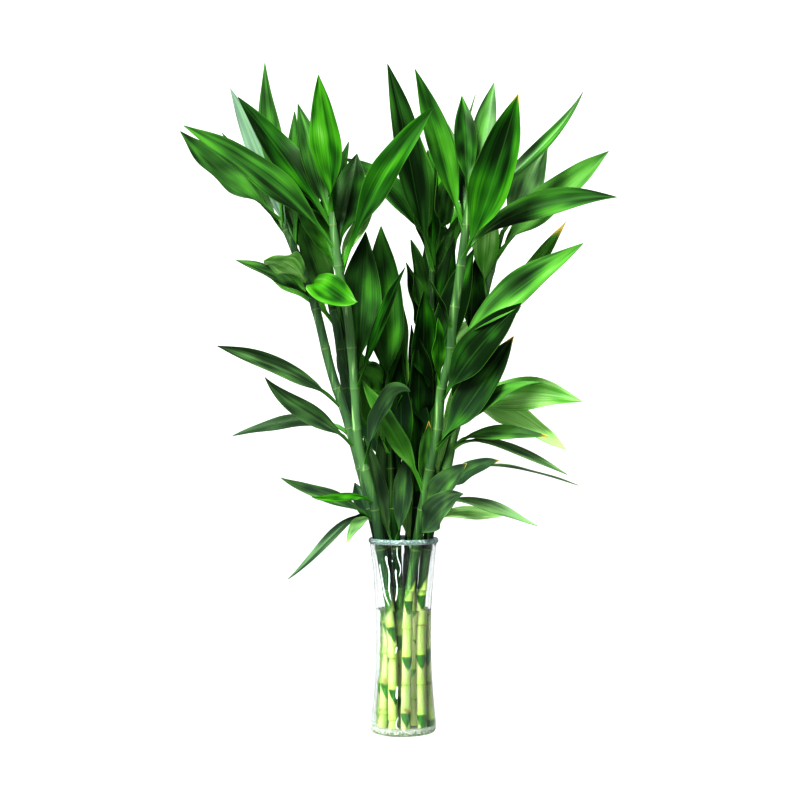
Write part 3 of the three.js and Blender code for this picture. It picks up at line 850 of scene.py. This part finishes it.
def outer_radius(height):
    return smooth(VASE_OUTLINE, height / MM)[0][0] * MM


def heights(low, high, steps):
    return [low + (high - low) * step / steps for step in range(steps + 1)]


def finish_piece(piece, material, slot, *nodes):
    """Gives a finished piece its material and its body, and hides the CAD nodes that it stands for.
    """
    if material:
        piece.data.materials.clear()
        piece.data.materials.append(material)
    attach(piece, BODY)
    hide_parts(*nodes)


class BAMBOO_OT_vase(bpy.types.Operator):
    """Spins the wavy glass vase with its thick foot and rolled rim"""

    bl_idname = "bamboo.vase"
    bl_label = "Glass vase"

    def execute(self, context):
        sizes = context.scene.bamboo_vase
        top = VASE_HEIGHT * MM
        rim = top - RIM_DEPTH * MM
        outside = heights(3 * MM, rim, WALL_STEPS)
        inside = heights(sizes.floor + 4 * MM, rim, WALL_STEPS)
        profile = [(radius * MM, height * MM) for radius, height in VASE_FOOT]
        profile += [(outer_radius(height), height) for height in outside]
        wide = outer_radius(top)
        profile += [(wide + across * MM, top + up * MM) for across, up in VASE_RIM]
        profile += [(outer_radius(height) - sizes.wall, height) for height in reversed(inside)]
        low = outer_radius(sizes.floor) - sizes.wall
        profile += [(low - 1.5 * MM, sizes.floor + 1 * MM), (low - 5 * MM, sizes.floor)]
        profile += [(0, sizes.floor - 0.5 * MM)]
        vase = spun("glass_vase", profile)
        for place, direction in self.ripples(vase, sizes.ripple):
            vase.data.vertices[place].co += direction
        drips = [self.drip(rows) for rows in DRIPS]
        for run in drips:
            mark = run.data.attributes.new("drip", "FLOAT", "POINT")
            mark.data.foreach_set("value", [1.0] * len(run.data.vertices))
        vase = join([vase, *drips], "glass_vase")
        point_outward(vase)
        smooth_shade(vase, 60)
        vase.visible_shadow = False
        finish_piece(vase, glass_finish(), "glass", "vase")
        return {"FINISHED"}

    def drip(self, rows):
        """A drop of glass that has run down the outside: rows of x, height and half its width."""
        deselect()
        bpy.ops.curve.primitive_nurbs_path_add()
        run = bpy.context.active_object
        line = run.data
        line.splines.clear()
        path = line.splines.new("POLY")
        steps = DRIP_STEPS * (len(rows) - 1)
        path.points.add(steps)
        spots = [(index, *row) for index, row in enumerate(rows)]
        for step, point in enumerate(path.points):
            across, height, half = [value * MM for value in smooth(spots, step / DRIP_STEPS)[0]]
            radius = outer_radius(height)
            point.co = (across, -math.sqrt(radius**2 - across**2) + 0.2 * MM, height, 1)
            ends = min(1, 0.15 + min(step, steps - step) * 0.5)
            point.radius = half * ends
        line.dimensions = "3D"
        line.bevel_depth = 1
        line.bevel_resolution = 3
        line.use_fill_caps = True
        bpy.ops.object.convert(target="MESH")
        return bpy.context.active_object

    def ripples(self, vase, depth):
        """Small hollows and swellings of the wall, as in hand-made glass, and a knurled rim."""
        top = VASE_HEIGHT * MM
        for vertex in vase.data.vertices:
            place = vertex.co
            across = Vector((place.x, place.y, 0))
            if across.length < 20 * MM:
                continue
            angle = math.atan2(place.y, place.x)
            outward = across.normalized()
            inner = across.length < outer_radius(place.z) - 1.5 * MM
            share = min(1, max(0, (place.z - 12 * MM) / (30 * MM)))
            up = place.z / MM
            if place.z > top - KNURL_DEPTH * MM:
                bead = math.sin(angle * 34) * math.sin(up * 1.5 + angle * 5)
                yield vertex.index, outward * (KNURL * MM * bead)
                continue
            swell = math.sin(angle * 3 + up * 0.06) * math.sin(up * 0.045 + 1)
            swell += 0.6 * math.sin(angle * 7 - up * 0.09) * math.sin(angle * 2 + 2)
            swell *= share * depth * (0.5 if inner else 0.35)
            yield vertex.index, outward * (swell - 0.35 * depth * share)


class BAMBOO_OT_water(bpy.types.Operator):
    """Spins the water, with its edge drawn up a little at the glass"""

    bl_idname = "bamboo.water"
    bl_label = "Water"

    def execute(self, context):
        sizes = context.scene.bamboo_vase
        into = 1 * MM
        level = sizes.water_level
        low = outer_radius(sizes.floor) - sizes.wall
        profile = [(0, sizes.floor - 1.5 * MM), (low - 3 * MM, sizes.floor - 1 * MM)]
        profile += [(low, sizes.floor + 2 * MM)]
        for height in heights(sizes.floor + 5 * MM, level + 1 * MM, WATER_STEPS):
            profile.append((outer_radius(height) - sizes.wall + into, height))
        edge = outer_radius(level) - sizes.wall
        profile += [(edge - 0.8 * MM, level + 0.4 * MM), (edge - 3 * MM, level), (0, level)]
        water = spun("vase_water", profile)
        smooth_shade(water, 60)
        water.visible_shadow = False
        finish_piece(water, water_finish(), "water", "water")
        return {"FINISHED"}


def internode(name, spacing, sides, ring):
    """One length of cane, from joint to joint, about a unit circle: a lip above the joint."""
    deselect()
    bpy.ops.mesh.primitive_cylinder_add(
        vertices=sides, radius=1, depth=spacing, end_fill_type="NOTHING",
        location=(0, 0, spacing / 2),
    )
    piece = named(name)
    bpy.ops.object.transform_apply(location=True, rotation=True, scale=True)
    cuts = [0.02, 0.05, 0.15, 0.35, 0.6, 0.85, 0.95, 0.98]
    swells = [1 + ring, 1 + ring * 0.4, 1, 0.985, 0.985, 1, 1 + ring * 0.3, 1 + ring * 0.5]
    for share in cuts:
        pick(piece)
        bpy.ops.mesh.bisect(plane_co=(0, 0, share * spacing), plane_no=(0, 0, 1))
        deselect()
    for share, swell in [(0, 1 + ring * 0.8), (1, 1 + ring * 0.8), *zip(cuts, swells)]:
        pick(piece, lambda place: abs(place.z - share * spacing) < CLOSE)
        bpy.ops.transform.resize(value=(swell, swell, 1), center_override=(0, 0, 0))
        deselect()
    return piece


def rod_between(master, spacing, name, first_joint, low, high):
    """A jointed rod cut off at two heights, with a joint at first_joint, from one internode."""
    piece = copy_of(master, name)
    below = math.ceil((first_joint - low) / spacing)
    count = below + math.ceil((high - first_joint) / spacing)
    pick(piece)
    bpy.ops.transform.translate(value=(0, 0, first_joint - below * spacing))
    deselect()
    array = piece.modifiers.new("joints", "ARRAY")
    array.use_relative_offset = False
    array.use_constant_offset = True
    array.constant_offset_displace = (0, 0, spacing)
    array.count = count
    array.use_merge_vertices = True
    array.merge_threshold = CLOSE
    apply_all(piece)
    for height, above in ((low, False), (high, True)):
        pick(piece)
        bpy.ops.mesh.bisect(
            plane_co=(0, 0, height), plane_no=(0, 0, 1), use_fill=True,
            clear_inner=not above, clear_outer=above,
        )
        deselect()
    return piece


def bend_rod(piece, axis, radius_at, spacing, first_joint, sides, looks):
    """Bends a straight unit rod along a stalk, and notes on it where its joints lie."""
    mesh = piece.data
    for name in ("rod", "looks"):
        mesh.attributes.new(name, "FLOAT_VECTOR", "POINT")
    rod, look = mesh.attributes["rod"], mesh.attributes["looks"]
    for vertex in mesh.vertices:
        x, y, height = vertex.co
        angle = math.atan2(y, x)
        joint = (height - first_joint) / spacing + FIRST_NUMBER
        scar_side, high_side = math.cos(angle - sides[1]), math.cos(angle - sides[0])
        rod.data[vertex.index].vector = (scar_side, high_side, joint)
        look.data[vertex.index].vector = looks(height)
        along = axis_direction(axis, height)
        across = Vector((0, 1, 0)).cross(along).normalized()
        inward = along.cross(across)
        radius = radius_at(height)
        vertex.co = axis_point(axis, height) + across * (x * radius) + inward * (y * radius)
    point_outward(piece)


class BAMBOO_OT_canes(bpy.types.Operator):
    """Makes one length of cane, repeats it along each stalk and bends it"""

    bl_idname = "bamboo.canes"
    bl_label = "Bare canes"

    def execute(self, context):
        sizes = context.scene.bamboo_canes
        skin = cane_finish()
        low, high = CANE_FOOT * MM, CANE_TOP * MM
        for name, axis in STALK_AXES.items():
            # The third value, dark, is the cane's painted shade.
            first, spacing, dark = CANE_LOOKS[name]
            first, spacing = first * MM, spacing * MM
            stem = STEM_LOOKS[name]
            master = internode("cane_internode", spacing, CANE_SIDES, CANE_RING)
            cane = rod_between(master, spacing, "bare_cane_" + name, first, low, high)
            discard(master)
            bend_rod(cane, axis, lambda height: sizes.radius, spacing, first, stem[4:],
                     lambda height: (dark, stem[0], stem[3]))
            smooth_shade(cane)
            finish_piece(cane, skin, "cane", "cane_" + name)
        return {"FINISHED"}


def blade_blank():
    """A flat leaf of unit length and half width, with two faces and a rim between them."""
    deselect()
    bpy.ops.mesh.primitive_grid_add(
        x_subdivisions=LEAF_COLUMNS, y_subdivisions=LEAF_ROWS, size=1
    )
    blank = named("leaf_blank")
    pick(blank)
    bpy.ops.transform.translate(value=(0, 0.5, 0))
    bpy.ops.transform.resize(value=(2, 1, 1), center_override=(0, 0, 0))
    deselect()
    blank.data.uv_layers[0].name = "blade"
    solid = blank.modifiers.new("two faces", "SOLIDIFY")
    solid.thickness = 1
    solid.offset = 0
    apply_all(blank)
    return blank


def stalk_share(row):
    return row[8] if len(row) > 8 else STALK_SHARE


def blade_share(share, stalk):
    """How far along its blade a place is that lies at a share of the leaf's length."""
    return max(0, (share - stalk) / (1 - stalk))


def half_width(share, width, stalk):
    blade = blade_share(share, stalk)
    full = width / 2 * smooth(BLADE_SHAPE, blade)[0][0]
    foot = LEAF_FOOT * MM * max(0, 1 - blade * LEAF_FOOT_TAPER)
    return max(full, foot, LEAF_POINT * MM)


def leaf_frames(axis, row, chance):
    """The middle, the way across, the way up and the half width of a leaf, row by row."""
    height, tip, width, droop, turn = row[:5]
    height *= MM
    base = axis_point(axis, height)
    along = axis_direction(axis, height)
    end = Vector(tip) * MM
    chord = end - base
    heading = chord.normalized()
    out = (heading - along * heading.dot(along)).normalized()
    flat = out.cross(along)
    root = base + out * (stem_radius(axis, height) * ROOT_OFFSET)
    leaving = (along + out * ROOT_SPREAD).normalized()
    heading.z -= droop
    reach = chord.length
    a, b = root, root + leaving * (reach * ROOT_REACH)
    c, d = end - heading.normalized() * (reach * TIP_REACH), end
    roll = chance.uniform(-0.12, 0.12)
    frames = []
    for step in range(LEAF_ROWS + 1):
        t = step / LEAF_ROWS
        s = 1 - t
        middle = a * s**3 + b * (3 * s * s * t) + c * (3 * s * t * t) + d * t**3
        ahead = ((b - a) * (s * s) + (c - b) * (2 * s * t) + (d - c) * (t * t)).normalized()
        turning = turn * min(1, t / TURN_SHARE)
        face = flat.cross(ahead).normalized()
        face.y -= turning
        face = (face - ahead * face.dot(ahead)).normalized()
        side = face.cross(ahead)
        face, side = face + side * roll * t, side - face * roll * t
        frames.append((middle, side, face, half_width(t, width * MM, stalk_share(row))))
    return frames


def bend_leaf(blank, name, axis, row, chance):
    """Copies the flat leaf and bends it from its stem to its tip, with a fold and waved margins."""
    looks = bpy.context.scene.bamboo_leaves
    leaf = copy_of(blank, name)
    mesh = leaf.data
    frames = leaf_frames(axis, row, chance)
    wave = chance.uniform(0.4, 1) * looks.wave
    beats, start = chance.uniform(1.2, 2.6), chance.uniform(0, 6)
    curl = chance.uniform(-0.05, 0.12)
    mesh.attributes.new("looks", "FLOAT_VECTOR", "POINT")
    mesh.attributes.new("lot", "FLOAT", "POINT")
    look, lot = mesh.attributes["looks"], mesh.attributes["lot"]
    number = chance.uniform(0, 40)
    # The leaf's tone, partly painted light and shade, its share of painted grey sheen, and its dry
    # tip.
    tones = (*row, 0)[5:8]
    for vertex in mesh.vertices:
        x, share, face_side = vertex.co
        middle, side, face, half = frames[round(share * LEAF_ROWS)]
        blade = blade_share(share, stalk_share(row))
        channel = looks.fold + 0.5 * max(0, 1 - blade * 5)
        fold = (math.sqrt(x * x + 0.02) - 0.14) * channel + curl * x * x * blade
        margin = wave * math.sin(beats * 2 * math.pi * share + start + (2 if x > 0 else 0)) * x * x
        margin *= min(1, blade * 3)
        lift = half * (fold + margin) + face_side * looks.thickness
        vertex.co = middle + side * (x * half) + face * lift
        look.data[vertex.index].vector = tones
        lot.data[vertex.index].value = number
    return leaf


class BAMBOO_OT_leafy_stems(bpy.types.Operator):
    """Makes each green stem and its leaves, from one internode and one flat leaf"""

    bl_idname = "bamboo.leafy_stems"
    bl_label = "Leafy stems"

    def execute(self, context):
        sizes = context.scene.bamboo_stems
        stem_skin, leaf_skin = stem_finish(), leaf_finish()
        master = internode("stem_internode", sizes.spacing, STEM_SIDES, STEM_RING)
        blank = blade_blank()
        blank.data.materials.append(leaf_skin)
        chance = random.Random(LEAF_SEED)
        for name, axis in STALK_AXES.items():
            low, high = (CANE_TOP + 0.2) * MM, axis[-1][0] * MM
            first = low + sizes.spacing
            stem = rod_between(master, sizes.spacing, "stem", first, low, high)
            bend_rod(stem, axis, lambda height: foot_radius(axis, height), sizes.spacing, first,
                     STEM_LOOKS[name][4:], lambda height: self.stem_look(name, height))
            stem.data.materials.clear()
            stem.data.materials.append(stem_skin)
            pieces = [stem]
            for row in STALK_LEAVES[name]:
                leaf = bend_leaf(blank, "leaf", axis, row, chance)
                point_outward(leaf)
                pieces.append(leaf)
            grown = join(pieces, "grown_stem_" + name)
            smooth_shade(grown, 55)
            finish_piece(grown, None, "leaf", "leafy_stem_" + name)
        discard(master)
        discard(blank)
        return {"FINISHED"}

    def stem_look(self, name, height):
        # How brightly the stem is painted lit at a height, how grey it is and how far its bare cane
        # reaches.
        low, high, grey, shift = STEM_LOOKS[name][:4]
        share = min(1, max(0, (height - LOOK_START) / LOOK_REACH))
        return low + (high - low) * share, grey * (0.3 + 0.7 * share), shift


class BAMBOO_OT_stage(bpy.types.Operator):
    """Lays the pale floor, hangs the soft lights and sets the camera"""

    bl_idname = "bamboo.stage"
    bl_label = "Floor, light and camera"

    def execute(self, context):
        looks = context.scene.bamboo_stage
        deselect()
        bpy.ops.mesh.primitive_plane_add(size=FLOOR_SIZE, location=(0, 0, 0))
        floor = named("floor")
        floor.data.materials.append(floor_finish())
        floor.visible_glossy = False
        self.sky(context, looks.sky)
        key = self.lamp("key_light", KEY_SOURCE, looks.key)
        rear = self.lamp("rear_light", REAR_SOURCE, looks.rear)
        rear.visible_glossy = False
        for lamp in (key, rear):
            self.leave_out(lamp, floor)
        bpy.ops.object.camera_add(location=CAMERA_PLACE, rotation=(math.pi / 2, 0, 0))
        camera = named("camera")
        camera.data.sensor_width = SENSOR_WIDTH
        camera.data.lens = LENS
        context.scene.camera = camera
        context.scene.cycles.max_bounces = BOUNCES
        context.scene.cycles.transmission_bounces = BOUNCES
        context.scene.view_settings.view_transform = "Standard"
        context.scene.view_settings.look = "High Contrast"
        return {"FINISHED"}

    def sky(self, context, strength):
        world = bpy.data.worlds.new("soft_light")
        world.use_nodes = True
        tree = world.node_tree
        light = tree.nodes["Background"]
        light.inputs["Color"].default_value = (1, 1, 1, 1)
        rays = tree.nodes.new("ShaderNodeLightPath")
        level = tree.nodes.new("ShaderNodeMath")
        level.operation = "MULTIPLY_ADD"
        tree.links.new(rays.outputs["Is Glossy Ray"], level.inputs[0])
        level.inputs[1].default_value = (GLOSSY_SKY - 1) * strength
        level.inputs[2].default_value = strength
        tree.links.new(level.outputs[0], light.inputs["Strength"])
        context.scene.world = world

    def lamp(self, name, source, strength):
        """A broad soft light from a direction."""
        bpy.ops.object.light_add(type="SUN", location=source)
        lamp = named(name)
        lamp.data.energy = strength
        lamp.data.angle = math.radians(LAMP_WIDTH)
        lamp.rotation_euler = Vector(source).to_track_quat("Z", "Y").to_euler()
        return lamp

    def leave_out(self, lamp, floor):
        """Keeps a lamp off the floor, which the sky alone lights, so that it stays even."""
        unlit = bpy.data.collections.new("not_lit_by_" + lamp.name)
        unlit.objects.link(floor)
        lamp.light_linking.receiver_collection = unlit
        unlit.collection_objects[0].light_linking.link_state = "EXCLUDE"


OPERATORS = (
    BAMBOO_OT_vase,
    BAMBOO_OT_water,
    BAMBOO_OT_canes,
    BAMBOO_OT_leafy_stems,
    BAMBOO_OT_stage,
)
SETTINGS = {
    "bamboo_vase": VaseSizes,
    "bamboo_canes": CaneSizes,
    "bamboo_stems": StemSizes,
    "bamboo_leaves": LeafLooks,
    "bamboo_stage": StageLooks,
}


class BAMBOO_PT_panel(bpy.types.Panel):
    """The sidebar panel that lists the steps"""

    bl_idname = "BAMBOO_PT_panel"
    bl_label = "Lucky bamboo"
    bl_space_type = "VIEW_3D"
    bl_region_type = "UI"
    bl_category = "Lucky bamboo"

    def draw(self, context):
        for operator in OPERATORS:
            self.layout.operator(operator.bl_idname)
        for name, group in SETTINGS.items():
            settings = getattr(context.scene, name)
            for key in group.__annotations__:
                self.layout.prop(settings, key)


CLASSES = (*SETTINGS.values(), *OPERATORS, BAMBOO_PT_panel)


def register():
    for each in CLASSES:
        bpy.utils.register_class(each)
    for name, group in SETTINGS.items():
        setattr(bpy.types.Scene, name, bpy.props.PointerProperty(type=group))


def unregister():
    for name in SETTINGS:
        delattr(bpy.types.Scene, name)
    for each in reversed(CLASSES):
        bpy.utils.unregister_class(each)


def main():
    register()
    bpy.ops.bamboo.stage()
    bpy.ops.bamboo.vase()
    bpy.ops.bamboo.water()
    bpy.ops.bamboo.canes()
    bpy.ops.bamboo.leafy_stems()


if __name__ == "__main__":
    main()
